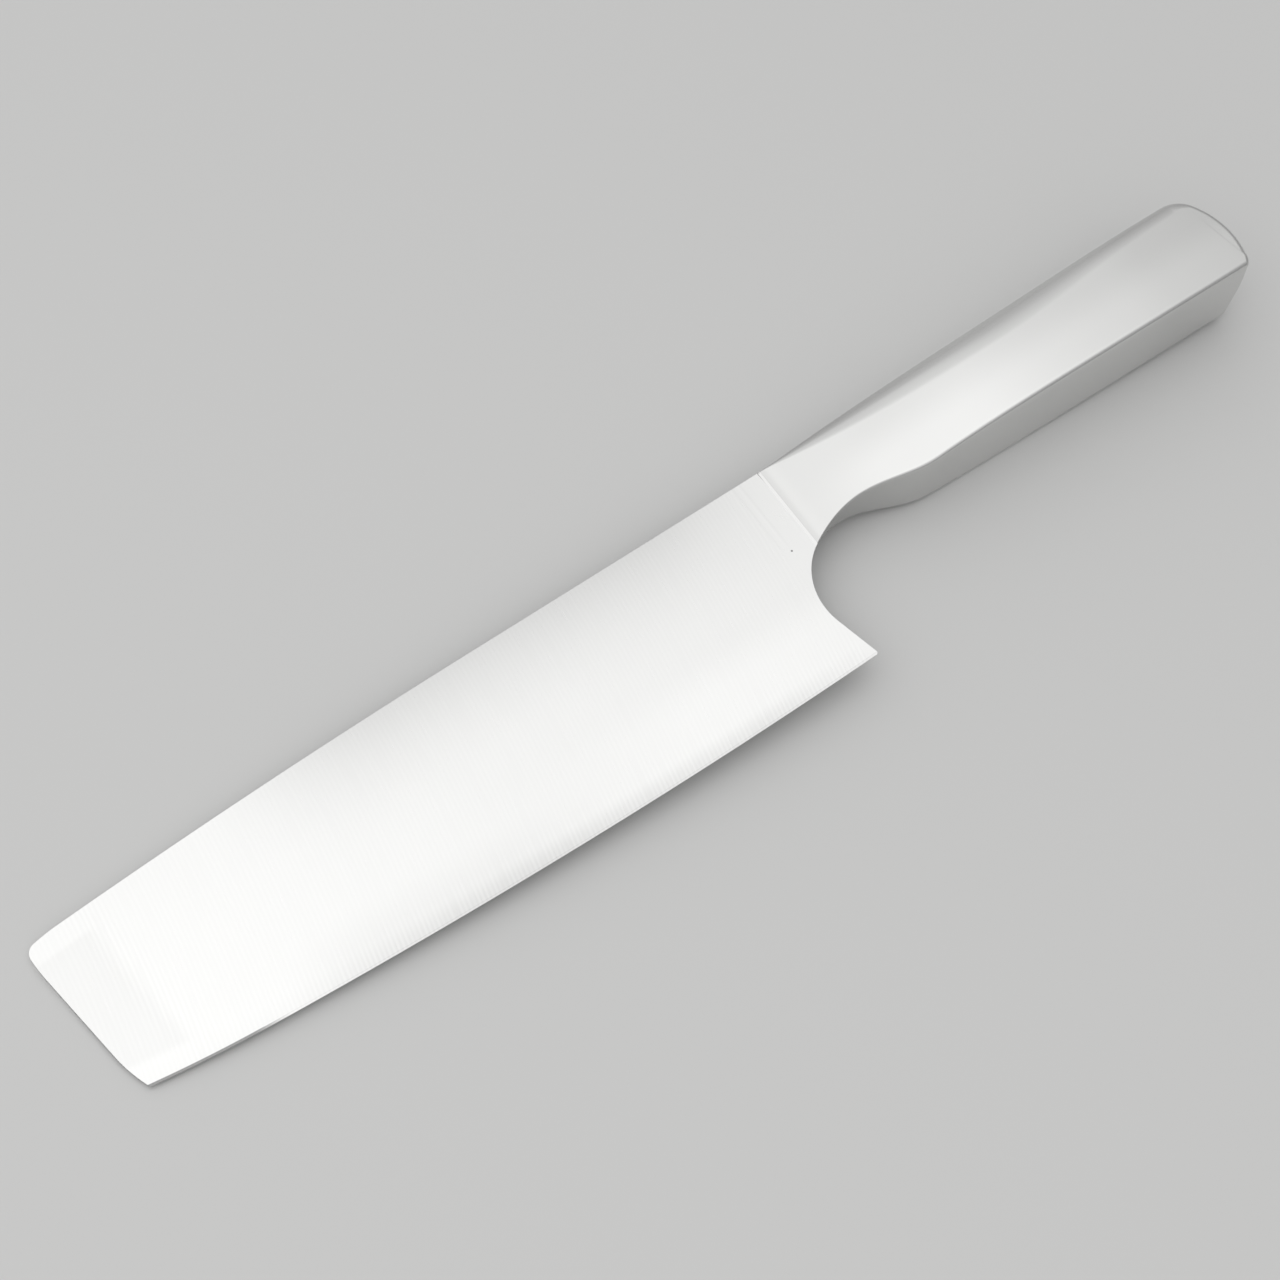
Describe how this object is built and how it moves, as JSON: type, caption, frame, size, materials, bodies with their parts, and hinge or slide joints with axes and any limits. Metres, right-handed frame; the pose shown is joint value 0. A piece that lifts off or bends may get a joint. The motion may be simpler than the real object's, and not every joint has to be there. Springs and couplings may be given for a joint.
{
  "type": "chopping knife",
  "caption": "All-steel chopping knife with a tall blade, a squared tip, a finger notch behind the heel and a hollow welded steel handle.",
  "frame": {"origin": "on the surface that the knife's handle lies on, under the middle of the knife's box", "axes": "+X from the blade's tip to the handle's butt, +Y from the cutting edge to the spine, +Z out of the knife's left side; the blade's middle plane is level at 10.8 mm"},
  "size_m": [0.3116, 0.0511, 0.0216],
  "materials": {
    "blade_steel": "fine cross-ground stainless knife steel",
    "handle_steel": "satin stainless steel",
    "weld_steel": "weld ground flush",
    "weight_iron": "plain casting",
    "glue": "cured epoxy"
  },
  "bodies": {
    "root": {"blade": "blade_steel", "neck_weld": "weld_steel", "neck": "handle_steel", "collar_weld": "weld_steel", "left_shell": "handle_steel", "right_shell": "handle_steel", "shell_weld": "weld_steel", "balance_weight": "weight_iron", "weight_glue": "glue"}
  },
  "joints": []
}
